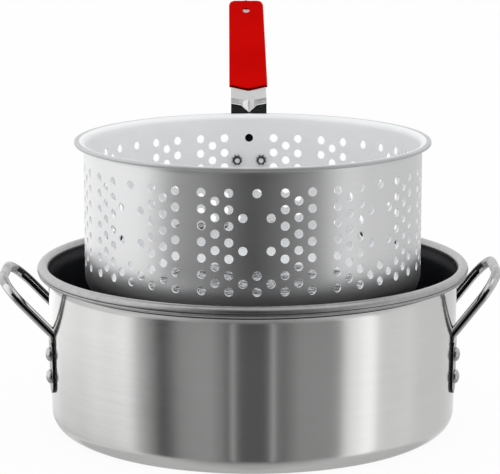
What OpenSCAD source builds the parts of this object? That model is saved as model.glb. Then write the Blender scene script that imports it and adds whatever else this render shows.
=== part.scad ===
// Fry pot with two riveted side handles and a lift-out perforated basket.
// Z is up and the origin is the middle of the pot's underside. +X is the right-hand pot handle,
// -Y the front, and the basket's long handle points back, towards +Y.

/* [Pot] */
// Outer radius of the pot wall
pot_r = 168; // [150:1:190]
// Height of the pot from its underside to the top of the bead
pot_h = 137; // [125:1:170]
// Thickness of the pot sheet
pot_t = 2; // [1.5:0.1:3]
// Outer radius of the bend between floor and wall
pot_corner_r = 15; // [8:1:24]
// How much smaller the wall's radius is at the foot than below the bead
wall_draft = 1.6; // [0:0.1:4]
// How far the wall flares outward below the bead
rim_flare = 2.2; // [0.5:0.1:4]
// Height of the flared stretch of the wall
rim_flare_h = 12; // [6:1:20]
// Radius of the rolled bead round the rim
bead_r = 4.4; // [3:0.1:5.5]
// Radius of the sheet's curled end, which shows as a ridge under the bead
curl_r = 1.5; // [1:0.1:2]

/* [Pot handles] */
// Distance between the middles of a handle's two tabs
tab_spacing = 78; // [66:1:90]
// Distance between the middles of a handle's two legs
leg_spacing = 86; // [74:1:98]
// Height at which the legs leave the pot wall
handle_fold_z = 84; // [80:0.5:90]
// Length of a leg, from the pot wall to the middle of the crossbar
leg_length = 60.5; // [54:0.5:70]
// Angle of the left handle's legs above the horizontal
left_leg_angle = 45.8; // [38:0.1:54]
// Angle of the right handle's legs above the horizontal
right_leg_angle = 52.1; // [38:0.1:54]
// Depth of the handle section, along the crossbar's reach
section_d = 7; // [5:0.5:9]
// Height of the handle section, square to the loop
section_h = 7.4; // [5:0.2:9]
// Radius of the section's outer edges
section_edge_r = 3; // [1:0.1:3.4]
// Radius of the bend between leg and crossbar, at mid section
loop_bend_r = 18; // [10:1:20]
// Thickness of the channel's walls
channel_t = 1.6; // [1:0.1:2]
// Length of solid leg at each end of the channel
channel_inset = 21; // [20:1:24]
// Width of the riveted tab below each leg
tab_w = 16; // [14:1:22]
// Thickness of the riveted tab
tab_t = 2; // [1.5:0.1:3]
// Height of the tab's lower end above the pot's underside
tab_low_z = 33.5; // [26:0.5:38]

/* [Rivets] */
// Height of the lower rivet above the pot's underside
rivet_low_z = 48.5; // [46:0.5:52]
// Distance between the two rivets of a tab
rivet_pitch = 18.6; // [14:0.2:22]
// Diameter of the rivet's shank
rivet_d = 5; // [4:0.1:6]
// Diameter of the rivet's outer head
rivet_head_d = 12; // [9:0.5:13]
// Height of the rivet's outer head
rivet_head_h = 4; // [2:0.1:5]
// Diameter of the rivet's flat inner head
rivet_foot_d = 9; // [7.5:0.5:11]
// Thickness of the rivet's flat inner head
rivet_foot_h = 1.4; // [1:0.1:2]

/* [Basket] */
// Outer radius of the basket wall
basket_r = 138; // [120:1:143]
// Height of the basket
basket_h = 129; // [116:1:132]
// Thickness of the basket sheet
basket_t = 1.5; // [1:0.1:2]
// Outer radius of the bend between the basket's floor and wall
basket_corner_r = 20; // [10:1:22]
// Width of the flange round the basket's rim, measured from the wall
flange_w = 7.5; // [6:0.1:9]
// Inner radius of the bend between wall and flange
flange_bend_r = 3.5; // [2:0.1:4.5]
// Height of the flange's turned-down edge
hem_h = 2.7; // [1.6:0.1:4]
// Width of the flange's turned-down edge
hem_w = 1.8; // [1.2:0.1:2.4]
// Height of the lifted basket's underside above the pot's floor
lift = 107; // [60:1:130]
// Turn of the basket in the pot, in degrees
basket_turn = 1.3; // [-10:0.1:10]

/* [Punched holes] */
// Diameter of every punched hole
hole_d = 7.1; // [5:0.1:7.6]
// Number of times the hole pattern repeats round the wall
pattern_repeats = 8; // [8:4:8]
// Number of hole columns in one repeat, the blank one included
pattern_columns = 10; // [10:1:10]
// Distance from the rim down to the top row
first_row_drop = 20.6; // [18:0.2:22]
// Distance between rows
row_pitch = 12.85; // [10:0.05:13]
// Distance between the rings of holes in the floor
floor_pitch = 13.5; // [12:0.5:20]

/* [Basket handle] */
// Width of the strap where it bends
strap_w = 31; // [28:0.5:34]
// Width of the strap at its end
strap_end_w = 28; // [22:0.5:30]
// Thickness of the strap
strap_t = 2; // [1.5:0.1:3]
// Length of the strap beyond the bend
strap_l = 141; // [110:1:170]
// Angle of the strap above the horizontal
strap_angle = 33; // [20:1:45]
// Angle by which each half of the strap is raised about its centre line
trough_angle = 11; // [4:1:15]
// Height of the bend above the basket's rim
strap_rise = 7.5; // [5:0.5:12]
// Distance from the screws down to the strap's lower end
strap_foot = 11; // [8:0.5:16]
// Clearance between the strap and the edge of the flange
strap_clear = 0.8; // [0.3:0.1:2]
// Thickness of the vinyl on the strap
vinyl_t = 1.5; // [1:0.1:2.5]
// Distance from the bend to the lower end of the vinyl grip
grip_start = 21; // [15:1:40]
// How far the middle of the grip's lower end hangs below its sides
grip_point = 2.6; // [0:0.1:5]
// Radius of the grip's outer corners
grip_corner_r = 8.5; // [3:0.5:10]
// How far the middle of the grip's upper end stands above its sides
grip_crown = 2; // [0:0.1:4]
// Width of the dart pressed into the bend of the strap
dart_w = 15; // [10:0.5:20]
// Length of the dart beyond the bend
dart_reach = 9; // [6:0.5:14]
// Length of the dart below the bend
dart_drop = 5.5; // [3:0.5:7]
// Diameter of the hanging hole
hang_d = 7; // [5:0.1:9]
// Distance from the strap's end to the hanging hole
hang_inset = 12.5; // [8:0.5:16]

/* [Screws] */
// Diameter of the screw's shank
screw_d = 4.2; // [3.5:0.1:4.6]
// Diameter of the screw's head
screw_head_d = 8; // [7:0.1:9]
// Height of the screw's head
screw_head_h = 2.8; // [2:0.1:3.5]
// How far the screw stands out of its nut
screw_end = 1.4; // [0.5:0.1:3]
// Outer diameter of the star washer
washer_d = 9.6; // [9:0.1:10.2]
// Thickness of the star washer
washer_t = 0.7; // [0.5:0.1:1]
// Width of the nut across its flats
nut_w = 7; // [6.5:0.1:8]
// Height of the nut
nut_h = 3.2; // [2.4:0.1:4]

/* [Fits] */
// Clearance between faces that are fastened together
seat_gap = 0.05; // [0.02:0.01:0.1]
// Clearance round a rivet or screw in its own hole
shank_gap = 0.1; // [0.05:0.01:0.2]

/* [Hidden] */

// Colours
aluminium = [0.72, 0.72, 0.73];
satin_aluminium = [0.8, 0.8, 0.81];
chrome = [0.62, 0.63, 0.65];
dull_aluminium = [0.58, 0.58, 0.57];
red_vinyl = [0.82, 0.03, 0.02];
plated_steel = [0.45, 0.45, 0.46];

// Roundness of drawn circles, and a size larger than any piece
round_fn = 96;
small_fn = 48;
far = 400;

// Pot
bead_x = pot_r - pot_t + rim_flare + bead_r;
bead_z = pot_h - bead_r;
flare_z = bead_z - rim_flare_h;
curl_a = -68;
groove_a = -36;
groove_r = 0.5;
wall_slope = wall_draft / (flare_z - pot_corner_r);
function wall_r(z) = pot_r - wall_slope * (flare_z - z);

// Pot handles
tab_az = asin(tab_spacing / 2 / pot_r);
tab_top_z = handle_fold_z + section_h * 0.8;
tab_in = seat_gap;
tab_out = tab_in + tab_t;
leg_y = leg_spacing / 2;
leg_foot_x = sqrt(wall_r(handle_fold_z) * wall_r(handle_fold_z) - leg_y * leg_y);
leg_sunk = 1.5 * section_h;
rivet_hole_d = rivet_d + 2 * shank_gap;
function rivet_z(row) = rivet_low_z + row * rivet_pitch;

// Basket: the punched band is a ring of flat panels, one to each column of holes
basket_z = pot_t + lift;
panels = pattern_repeats * pattern_columns;
panel_a = 360 / panels;
panel_inset = 0.25;
panel_out = (basket_r - panel_inset) * cos(panel_a / 2);
panel_in = (basket_r - basket_t - panel_inset) * cos(panel_a / 2);
row_count = 7;
first_row_z = basket_h - first_row_drop;
last_row_z = first_row_z - (row_count - 1) * row_pitch;
band_margin = 3.5;
band_top_z = first_row_z + hole_d / 2 + band_margin;
band_low_z = last_row_z - hole_d / 2 - band_margin;
band_overlap = 0.5;
floor_rings = floor((basket_r - basket_corner_r - hole_d) / floor_pitch);
flange_r = basket_r + flange_w;

// Basket handle: the screws pass through the holes beside the blank middle column
screw_row = 1.5;
screw_z = first_row_z - screw_row * row_pitch;
strap_in = panel_out + seat_gap;
strap_up = flange_r + strap_clear;
jog_low_z = screw_z + washer_d / 2 + 3;
jog_top_z = basket_h - hem_h - flange_w;
fold_z = basket_h + strap_rise;
crease_reach = 2;
hang_s = strap_l - hang_inset;
dart_rise = dart_reach * sin(strap_angle) + dart_drop;
dart_angle = atan2(dart_rise, dart_reach * cos(strap_angle));
dart_depth = dart_drop * cos(dart_angle);
dart_l = 4 * (dart_reach + dart_drop);
screw_hole_d = screw_d + 2 * shank_gap;

// Screws, measured out from the basket's axis
washer_y = panel_in - seat_gap - washer_t;
nut_y = washer_y - seat_gap - nut_h;
head_y = strap_in + strap_t + seat_gap;
screw_y = nut_y - screw_end;
drive_w = 1;
washer_teeth = 8;

module rounded_square(w, h, r) {
    square([w - 2 * r, h], center = true);
    square([w, h - 2 * r], center = true);
    for (x = [-1, 1]) for (y = [-1, 1])
        translate([x * (w / 2 - r), y * (h / 2 - r)]) circle(r = r, $fn = small_fn);
}

module quarter_ring(outer, thickness) {
    intersection() {
        difference() {
            circle(r = outer, $fn = round_fn);
            circle(r = outer - thickness, $fn = round_fn);
        }
        square(outer);
    }
}

// Floor and bend of a pressed vessel, drawn as half a section
module vessel_foot(r, corner, t) {
    square([r - corner, t]);
    translate([r - corner, corner]) mirror([0, 1]) quarter_ring(corner, t);
}

// ---- Pot ----

module bead_section() {
    difference() {
        union() {
            circle(r = bead_r, $fn = small_fn);
            rotate(curl_a) translate([bead_r - curl_r + groove_r, 0]) circle(r = curl_r, $fn = small_fn);
        }
        rotate(groove_a) translate([bead_r, 0]) circle(r = groove_r, $fn = small_fn);
    }
}

module pot_section() {
    foot_r = pot_r - wall_draft;
    vessel_foot(foot_r, pot_corner_r, pot_t);
    polygon([
        [foot_r, pot_corner_r], [pot_r, flare_z], [pot_r + rim_flare, bead_z],
        [pot_r - pot_t + rim_flare, bead_z], [pot_r - pot_t, flare_z], [foot_r - pot_t, pot_corner_r]
    ]);
    translate([bead_x, bead_z]) bead_section();
}

// Solid cone that stands off the pot wall by an offset
module wall_cone(offset, low_z, high_z) {
    r1 = wall_r(low_z) + offset;
    r2 = wall_r(high_z) + offset;
    translate([0, 0, low_z]) cylinder(r1 = r1, r2 = r2, h = high_z - low_z, $fn = round_fn);
}

// Frame of a rivet: Z points out of the pot, from the pot's axis
module at_rivet(side, leg, row) {
    rotate([0, 0, side > 0 ? leg * tab_az : 180 - leg * tab_az])
        translate([0, 0, rivet_z(row)]) rotate([0, 90, 0]) children();
}

module rivet_holes() {
    for (side = [-1, 1]) for (leg = [-1, 1]) for (row = [0, 1])
        at_rivet(side, leg, row)
            translate([0, 0, pot_r - 5 * pot_t]) cylinder(d = rivet_hole_d, h = 10 * pot_t, $fn = small_fn);
}

module pot() {
    color(aluminium) difference() {
        rotate_extrude($fn = round_fn) pot_section();
        rivet_holes();
    }
}

// ---- Pot handles ----

module leg_section(open) {
    difference() {
        rounded_square(section_d, section_h, section_edge_r);
        if (open)
            translate([-section_d, -section_h / 2 + channel_t])
                square([1.5 * section_d - channel_t, section_h - 2 * channel_t]);
    }
}

module leg_run(from, length, open) {
    translate([from, leg_y, 0]) rotate([90, 0, 90]) linear_extrude(length) leg_section(open);
}

module half_loop() {
    channel_l = leg_length - 2 * channel_inset;
    leg_l = leg_length + leg_sunk;
    translate([0, leg_y - loop_bend_r, 0]) rotate([90, 0, 0])
        linear_extrude(leg_y - loop_bend_r) leg_section(false);
    translate([-loop_bend_r, leg_y - loop_bend_r, 0]) rotate_extrude(angle = 90, $fn = round_fn)
        translate([loop_bend_r, 0]) leg_section(false);
    leg_run(-channel_inset, channel_inset - loop_bend_r, false);
    leg_run(-channel_inset - channel_l, channel_l, true);
    leg_run(-leg_l, leg_l - channel_inset - channel_l, false);
}

module handle_loop(angle) {
    translate([leg_foot_x + leg_length * cos(angle), 0, handle_fold_z + leg_length * sin(angle)])
        rotate([0, -angle, 0]) {
            half_loop();
            mirror([0, 1, 0]) half_loop();
        }
}

// Riveted tab, curved to lie on the pot wall
module handle_tab(leg) {
    tab_h = tab_top_z - tab_low_z;
    rotate([0, 0, leg * tab_az]) intersection() {
        translate([pot_r - wall_draft - tab_t, 0, tab_low_z + tab_h / 2]) rotate([90, 0, 90])
            linear_extrude(wall_draft + 4 * tab_t) rounded_square(tab_w, tab_h, tab_w / 2 - 1);
        difference() {
            wall_cone(tab_out, tab_low_z - tab_t, tab_top_z + tab_t);
            wall_cone(tab_in, tab_low_z - 2 * tab_t, tab_top_z + 2 * tab_t);
        }
    }
}

module pot_handle(side) {
    color(chrome) mirror([side > 0 ? 0 : 1, 0, 0]) difference() {
        union() {
            difference() {
                handle_loop(side > 0 ? right_leg_angle : left_leg_angle);
                wall_cone((tab_in + tab_out) / 2, tab_low_z, pot_h);
            }
            handle_tab(-1);
            handle_tab(1);
        }
        rivet_holes();
    }
}

// Flat-bottomed dome
module dome(d, h) {
    dome_r = (d * d / 4 + h * h) / (2 * h);
    intersection() {
        translate([0, 0, h - dome_r]) sphere(r = dome_r, $fn = small_fn);
        cylinder(d = 2 * d, h = 2 * h, $fn = small_fn);
    }
}

// Rivet with a domed head on the tab and a flat foot inside the pot
module rivet(side, leg, row) {
    out_r = wall_r(rivet_z(row));
    in_r = out_r - pot_t;
    head_x = out_r + tab_out + wall_slope * rivet_head_d / 2 + seat_gap;
    foot_sag = rivet_foot_d * rivet_foot_d / (8 * in_r) + wall_slope * rivet_foot_d / 2;
    foot_x = in_r - foot_sag - seat_gap;
    color(dull_aluminium) at_rivet(side, leg, row) {
        translate([0, 0, head_x]) dome(rivet_head_d, rivet_head_h);
        translate([0, 0, foot_x - rivet_foot_h / 2])
            cylinder(d = rivet_d, h = head_x - foot_x + rivet_foot_h, $fn = small_fn);
        translate([0, 0, foot_x - rivet_foot_h]) cylinder(d = rivet_foot_d, h = rivet_foot_h, $fn = small_fn);
    }
}

// ---- Basket ----

module in_basket() {
    translate([0, 0, basket_z]) rotate([0, 0, basket_turn]) children();
}

module flange_section() {
    bend = flange_bend_r + basket_t;
    translate([basket_r + flange_bend_r, basket_h - bend])
        mirror([1, 0]) quarter_ring(bend, basket_t);
    translate([basket_r + flange_bend_r, basket_h - basket_t])
        square([flange_w - flange_bend_r - basket_t / 2, basket_t]);
    translate([flange_r - hem_w / 2, basket_h - hem_h / 2]) rounded_square(hem_w, hem_h, hem_w * 0.42);
}

module basket_section() {
    vessel_foot(basket_r, basket_corner_r, basket_t);
    translate([basket_r - basket_t, basket_corner_r]) square([basket_t, band_low_z - basket_corner_r]);
    translate([basket_r - basket_t, band_top_z])
        square([basket_t, basket_h - flange_bend_r - basket_t - band_top_z]);
    flange_section();
}

function panel_ring(r) =
    [for (i = [0 : panels - 1]) [r * cos((i + 0.5) * panel_a), r * sin((i + 0.5) * panel_a)]];

module punched_band() {
    translate([0, 0, band_low_z - band_overlap])
        linear_extrude(band_top_z - band_low_z + 2 * band_overlap) difference() {
            polygon(panel_ring(basket_r - panel_inset));
            polygon(panel_ring(basket_r - basket_t - panel_inset));
        }
}

// Rows punched in a column, counted from the middle column of a repeat
function column_rows(k) =
    k == 0 ? [0, 5, 6] :
    k == 1 ? [1.5, 3.5, 5.5] :
    k == 3 ? [for (i = [0 : 5]) i + 0.5] :
    [for (i = [0 : 6]) i];

module wall_holes() {
    for (repeat = [0 : pattern_repeats - 1]) for (k = [-4 : 4]) for (row = column_rows(abs(k)))
        rotate([0, 0, 90 + repeat * 360 / pattern_repeats + k * panel_a])
            translate([basket_r - 4 * basket_t, 0, first_row_z - row * row_pitch]) rotate([0, 90, 0])
                cylinder(d = hole_d, h = 8 * basket_t, $fn = small_fn);
}

module floor_holes() {
    for (ring = [1 : floor_rings]) for (i = [0 : 6 * ring - 1])
        rotate([0, 0, i * 60 / ring]) translate([ring * floor_pitch, 0, -basket_t])
            cylinder(d = hole_d, h = 3 * basket_t, $fn = small_fn);
}

module basket() {
    color(satin_aluminium) in_basket() difference() {
        union() {
            rotate_extrude($fn = round_fn) basket_section();
            punched_band();
        }
        wall_holes();
        floor_holes();
    }
}

// ---- Basket handle ----

// Frame of the panel that a screw passes through: Y points out of the basket
module at_panel(side) {
    rotate([0, 0, -side * panel_a]) children();
}

// Frame of the sloping strap: Y runs along it, Z is its upper side
module along_strap() {
    translate([0, strap_up, fold_z]) rotate([strap_angle, 0, 0]) children();
}

module right_half() {
    intersection() {
        union() children();
        translate([0, -far, -far]) cube([far, 2 * far, 2 * far]);
    }
}

module both_halves() {
    right_half() children();
    mirror([1, 0, 0]) right_half() children();
}

// Outline of the strap, or of the vinyl round it when grown
module strap_outline(from, grow) {
    r = grip_corner_r - vinyl_t + grow;
    half = strap_w / 2 + grow;
    end_half = strap_end_w / 2 + grow;
    end = strap_l + grow;
    polygon([
        [-crease_reach, from], [0, from], [half, from + (grow > 0 ? grip_point : 0)],
        [end_half, end - r], [-crease_reach, end - r]
    ]);
    polygon([
        [-crease_reach, end - 2 * r], [end_half - r, end - 2 * r],
        [end_half - r, end], [0, end + grip_crown], [-crease_reach, end + grip_crown]
    ]);
    translate([end_half - r, end - r]) circle(r = r, $fn = small_fn);
}

module sloping_plate(from, grow) {
    along_strap() rotate([0, -trough_angle, 0]) translate([0, 0, -strap_t - grow])
        linear_extrude(strap_t + 2 * grow) strap_outline(from, grow);
}

module upright_plate() {
    side_x = strap_w / 2 - panel_out * sin(panel_a);
    at_panel(1) translate([-strap_w, 0, 0]) rotate([90, 0, 90]) linear_extrude(strap_w + side_x)
        polygon([
            [strap_in, screw_z - strap_foot], [strap_in + strap_t, screw_z - strap_foot],
            [strap_in + strap_t, jog_low_z], [strap_up + strap_t, jog_top_z],
            [strap_up + strap_t, fold_z + strap_w / 2], [strap_up, fold_z + strap_w / 2],
            [strap_up, jog_top_z], [strap_in, jog_low_z]
        ]);
}

// Pressed dart: a V-shaped groove that cuts the corner of the bend, drawn across its own length
module along_dart() {
    translate([0, strap_up, fold_z - dart_drop]) rotate([90 + dart_angle, 0, 0])
        linear_extrude(dart_l, center = true) children();
}

module dart_groove() {
    along_dart() polygon([[0, 0], [dart_w, 2 * dart_depth], [-dart_w, 2 * dart_depth]]);
}

// The dart's back, within the corner between the upright and the sloping plate
module dart_wall() {
    sheet = strap_t / cos(atan2(2 * dart_depth, dart_w));
    intersection() {
        along_dart() polygon([
            [0, 0], [dart_w, 2 * dart_depth], [dart_w, 2 * dart_depth - sheet],
            [0, -sheet], [-dart_w, 2 * dart_depth - sheet], [-dart_w, 2 * dart_depth]
        ]);
        translate([-far / 2, strap_up + strap_t / 2, 0]) cube([far, far, far]);
        along_strap() translate([-far / 2, -far / 2, -far - strap_t / 2]) cube([far, far, far]);
    }
}

module basket_handle() {
    color(chrome) in_basket() difference() {
        union() {
            both_halves() {
                difference() {
                    upright_plate();
                    along_strap() rotate([0, -trough_angle, 0])
                        translate([-far / 2, -far / 2, 0]) cube([far, far, far]);
                }
                intersection() {
                    sloping_plate(-strap_t * 4, 0);
                    at_panel(1) translate([-far / 2, strap_up, 0]) cube([far, far, far]);
                }
            }
            dart_wall();
        }
        dart_groove();
        for (side = [-1, 1]) at_panel(side) translate([0, strap_in - strap_t, screw_z]) rotate([-90, 0, 0])
            cylinder(d = screw_hole_d, h = 3 * strap_t, $fn = small_fn);
        along_strap() translate([0, hang_s, -strap_w / 2])
            cylinder(d = hang_d + 2 * vinyl_t, h = strap_w, $fn = small_fn);
    }
}

module grip() {
    color(red_vinyl) in_basket() difference() {
        both_halves() sloping_plate(grip_start, vinyl_t);
        difference() {
            both_halves() sloping_plate(-strap_t, seat_gap);
            along_strap() translate([0, hang_s, -strap_w / 2])
                cylinder(d = hang_d + 2 * vinyl_t - 2 * seat_gap, h = strap_w, $fn = small_fn);
        }
        along_strap() translate([0, hang_s, -strap_w / 2]) cylinder(d = hang_d, h = strap_w, $fn = small_fn);
    }
}

// ---- Screws ----

// Frame of a screw: Z points out of the basket, from the basket's axis
module at_screw(side) {
    in_basket() at_panel(side) translate([0, 0, screw_z]) rotate([-90, 0, 0]) children();
}

module screw(side) {
    color(plated_steel) at_screw(side) difference() {
        union() {
            translate([0, 0, screw_y]) cylinder(d = screw_d, h = head_y - screw_y + seat_gap, $fn = small_fn);
            translate([0, 0, head_y]) dome(screw_head_d, screw_head_h);
        }
        for (a = [0, 90]) rotate([0, 0, a])
            translate([-screw_d / 2, -drive_w / 2, head_y + screw_head_h / 2])
                cube([screw_d, drive_w, screw_head_h]);
    }
}

module lock_washer(side) {
    color(plated_steel) at_screw(side) translate([0, 0, washer_y]) difference() {
        cylinder(d = washer_d, h = washer_t, $fn = small_fn);
        translate([0, 0, -washer_t]) cylinder(d = screw_hole_d, h = 3 * washer_t, $fn = small_fn);
        for (i = [0 : washer_teeth - 1]) rotate([0, 0, i * 360 / washer_teeth])
            translate([washer_d / 2, 0, -washer_t])
                cylinder(r = washer_d / 9, h = 3 * washer_t, $fn = small_fn);
    }
}

module nut(side) {
    color(plated_steel) at_screw(side) translate([0, 0, nut_y]) difference() {
        cylinder(d = nut_w / cos(30), h = nut_h, $fn = 6);
        translate([0, 0, -nut_h]) cylinder(d = screw_hole_d, h = 3 * nut_h, $fn = small_fn);
    }
}

pot();
pot_handle(-1);  // pot_handle_left
pot_handle(1);  // pot_handle_right
rivet(-1, -1, 1);  // rivet_left_front_upper
rivet(-1, -1, 0);  // rivet_left_front_lower
rivet(-1, 1, 1);  // rivet_left_back_upper
rivet(-1, 1, 0);  // rivet_left_back_lower
rivet(1, -1, 1);  // rivet_right_front_upper
rivet(1, -1, 0);  // rivet_right_front_lower
rivet(1, 1, 1);  // rivet_right_back_upper
rivet(1, 1, 0);  // rivet_right_back_lower
basket();
basket_handle();
grip();
screw(-1);  // screw_left
screw(1);  // screw_right
lock_washer(-1);  // lock_washer_left
lock_washer(1);  // lock_washer_right
nut(-1);  // nut_left
nut(1);  // nut_right
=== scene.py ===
from math import cos, pi, radians, sin, tan

import bpy
import numpy as np
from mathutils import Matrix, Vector
from mathutils.geometry import delaunay_2d_cdt


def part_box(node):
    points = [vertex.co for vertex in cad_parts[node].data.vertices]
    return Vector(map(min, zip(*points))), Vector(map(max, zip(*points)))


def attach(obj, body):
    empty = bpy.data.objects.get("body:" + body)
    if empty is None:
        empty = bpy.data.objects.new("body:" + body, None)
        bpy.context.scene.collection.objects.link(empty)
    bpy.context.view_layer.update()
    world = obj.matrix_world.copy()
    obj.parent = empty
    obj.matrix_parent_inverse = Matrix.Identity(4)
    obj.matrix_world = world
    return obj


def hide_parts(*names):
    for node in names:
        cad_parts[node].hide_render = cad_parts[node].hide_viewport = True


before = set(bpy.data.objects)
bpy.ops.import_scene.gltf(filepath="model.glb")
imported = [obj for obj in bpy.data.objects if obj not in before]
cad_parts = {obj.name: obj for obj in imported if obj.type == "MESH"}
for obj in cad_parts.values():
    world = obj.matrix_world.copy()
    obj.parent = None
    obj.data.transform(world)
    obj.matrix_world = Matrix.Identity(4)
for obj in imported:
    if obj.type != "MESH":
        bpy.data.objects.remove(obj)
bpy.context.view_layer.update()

MM = 0.001

# -------- sizes, in metres

# Pot
POT_R = 168 * MM
POT_H = 137 * MM
POT_T = 2 * MM
POT_CORNER_R = 15 * MM
WALL_DRAFT = 1.6 * MM
WALL_LOW_Z = 21 * MM
RIM_FLARE = 2.2 * MM
RIM_FLARE_H = 12 * MM
BEAD_R = 4.4 * MM
BEAD_HOLLOW = 0.6 * MM
CURL_R = 1.9 * MM
CURL_ANGLE = radians(-54)
GROOVE_ANGLE = radians(-24)
GROOVE_R = 0.6 * MM
BEAD_X = POT_R - POT_T + RIM_FLARE + BEAD_R
BEAD_Z = POT_H - BEAD_R
FLARE_Z = BEAD_Z - RIM_FLARE_H
FOOT_R = POT_R - WALL_DRAFT

# Pot handles
TAB_AZIMUTH = np.arcsin(39 * MM / POT_R)
LEG_Y = 43 * MM
FOLD_HEIGHT = 84 * MM
FOLD_R = 6 * MM
LEG_LENGTH = 60.5 * MM
LEG_ANGLES = {-1: radians(45.8), 1: radians(52.1)}
SECTION_D = 7 * MM
SECTION_H = 7.4 * MM
SECTION_EDGE_R = 3 * MM
LOOP_BEND_R = 25 * MM
LOOP_BEND = LOOP_BEND_R * pi / 2
CHANNEL_HALF_W = 1.3 * MM
CHANNEL_D = 5.2 * MM
CHANNEL_END = -0.32 * LOOP_BEND
CHANNEL_BEVEL = 0.5 * MM
CLOSED_HALF_W = 0.05 * MM
CLOSED_D = 0.01 * MM
SMEAR_END = -0.55 * LOOP_BEND
TAB_W = 16 * MM
TAB_T = 2 * MM
TAB_EDGE_R = 0.7 * MM
TAB_LOW_Z = 33.5 * MM
TAB_END_Z = FOLD_HEIGHT - 11 * MM
LEG_START_Z = FOLD_HEIGHT + 4 * MM
SEAT_GAP = 0.05 * MM
PATH_STEP = 1.2 * MM

# Rivets
RIVET_LOW_Z = 48.5 * MM
RIVET_PITCH = 18.6 * MM
RIVET_HEAD_R = 6 * MM
RIVET_HEAD_H = 4 * MM
RIVET_HEAD_EDGE = 0.4 * MM
RIVET_BEVEL = 0.3 * MM
RIVET_SHANK_R = 2.4 * MM
RIVET_GAP = 0.15 * MM
RIVET_FOOT_R = 4.5 * MM
RIVET_FOOT_H = 1.4 * MM
RIVET_FOOT_EDGE_R = 0.5 * MM

# Basket
BASKET_R = 138 * MM
BASKET_H = 129 * MM
BASKET_T = 1.5 * MM
BASKET_CORNER_R = 20 * MM
FLANGE_R = BASKET_R + 7.5 * MM
FLANGE_BEND_R = 3.5 * MM
HEM_H = 2.7 * MM
HEM_W = 1.8 * MM
HEM_STEP = 0.4 * MM
FLANGE_FLAT = 0.6 * MM
BASKET_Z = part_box("basket")[0][2]
BASKET_TURN = radians(1.3)
HOLE_R = 3.55 * MM
HOLE_CLEARANCE = 0.9 * HOLE_R
FIRST_ROW_Z = BASKET_H - 20.6 * MM
ROW_PITCH = 12.85 * MM
ROWS = 7
REPEATS = 8
COLUMNS = 10
FLOOR_PITCH = 13.5 * MM
FLOOR_RINGS = 8
FLOOR_INSET = 1.5 * MM
RING_SPACING = 0.5 * MM
PANEL_ANGLE = 2 * pi / (REPEATS * COLUMNS)

# Basket handle
STRAP_HALF_W = 15.5 * MM
STRAP_END_HALF_W = 14 * MM
STRAP_NARROWING = STRAP_HALF_W - STRAP_END_HALF_W
STRAP_T = 2 * MM
STRAP_L = 141 * MM
STRAP_ANGLE = radians(33)
TROUGH_ANGLE = radians(11)
STRAP_RISE = 7.5 * MM
STRAP_IN = BASKET_R - 0.3 * MM
STRAP_UP = FLANGE_R + 0.8 * MM
FOLD_Z = BASKET_H + STRAP_RISE
SCREW_Z = FIRST_ROW_Z - 1.5 * ROW_PITCH
STRAP_FOOT = 11 * MM
JOG_LOW_Z = SCREW_Z + 8 * MM
JOG_HIGH_Z = BASKET_H - 10 * MM
JOG_BEND_R = 5 * MM
STRAP_BEND_R = 3.5 * MM
CREASE = 1.2 * MM
DART_HALF_W = 7.5 * MM
DART_REACH = 9 * MM
DART_DROP = 7.5 * MM
DART_SOFT = 0.4 * MM
DART_FADE = 1.5 * MM
VINYL_T = 1.5 * MM
GRIP_START = 21 * MM
GRIP_POINT = 2 * MM
GRIP_CORNER_R = 8.5 * MM
GRIP_CORNER_MIN_R = 0.5 * MM
GRIP_CROWN = 2 * MM
GRIP_EDGE = 0.8 * (STRAP_T / 2 + VINYL_T)
DRIP = 0.5 * MM
DRIP_HALF_W = 3 * MM
LIP = 2 * MM
LIP_SLOPE = LIP / VINYL_T
LIP_UNDERCUT = -1.1
DIP_RUN = 1.3 * MM
HANG_R = 3.5 * MM
HANG_CLEARANCE = 0.95 * HANG_R
HANG_S = STRAP_L - 12.5 * MM


# -------- mesh tools

def arc(cx, cz, r, start, end, count):
    """Points (cx + r cos a, cz + r sin a) for count angles a, spread evenly from start to end
    degrees."""
    a = np.radians(np.linspace(start, end, count))
    return np.stack([cx + r * np.cos(a), cz + r * np.sin(a)], 1)


def circle(r, count):
    """Points (r cos a, r sin a) for count angles a, spread evenly round from 0."""
    a = np.arange(count) * 2 * pi / count
    return r * np.stack([np.cos(a), np.sin(a)], 1)


def unit(vectors):
    """Vectors divided by their own lengths."""
    return vectors / np.linalg.norm(vectors, axis=-1, keepdims=True)


def smoothstep(edge0, edge1, x):
    """0 below edge0, 1 above edge1, and 3t^2 - 2t^3 between them."""
    t = np.clip((x - edge0) / (edge1 - edge0), 0, 1)
    return t * t * (3 - 2 * t)


def rounded_corner(before, corner, after, r):
    """The arc of radius r that rounds a corner: its centre, the way from there to its two ends,
    and the angle that it turns through."""
    u, v = unit(before - corner), unit(after - corner)
    half = np.arccos(np.clip((u * v).sum(-1, keepdims=True), -1, 1)) / 2
    centre = corner + unit(u + v) * r / np.sin(half)
    first, last = (corner + way * r / np.tan(half) - centre for way in (u, v))
    return centre, first, last, pi - 2 * half


def arc_points(centre, first, last, turn, t):
    """Points at the shares t of such an arc, where the way from the centre is (sin((1 - t) turn)
    first + sin(t turn) last) / sin(turn)."""
    way = (np.sin((1 - t) * turn) * first + np.sin(t * turn) * last) / np.sin(turn)
    return centre + way


def grid_quads(rows, cols):
    """Quads between neighbouring points of a rows by cols grid, closed round the columns."""
    i, j = np.meshgrid(np.arange(rows - 1), np.arange(cols), indexing="ij")
    here, right = i * cols + j, i * cols + (j + 1) % cols
    return np.stack([here, right, right + cols, here + cols], -1).reshape(-1, 4)


def rings_round_z(profile, angles):
    """A profile of (r, z) turned round Z: each point becomes a ring (r cos t, r sin t, z)."""
    r, z = profile[:, :1], np.repeat(profile[:, 1:], len(angles), 1)
    return np.stack([r * np.cos(angles), r * np.sin(angles), z], -1).reshape(-1, 3)


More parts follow.
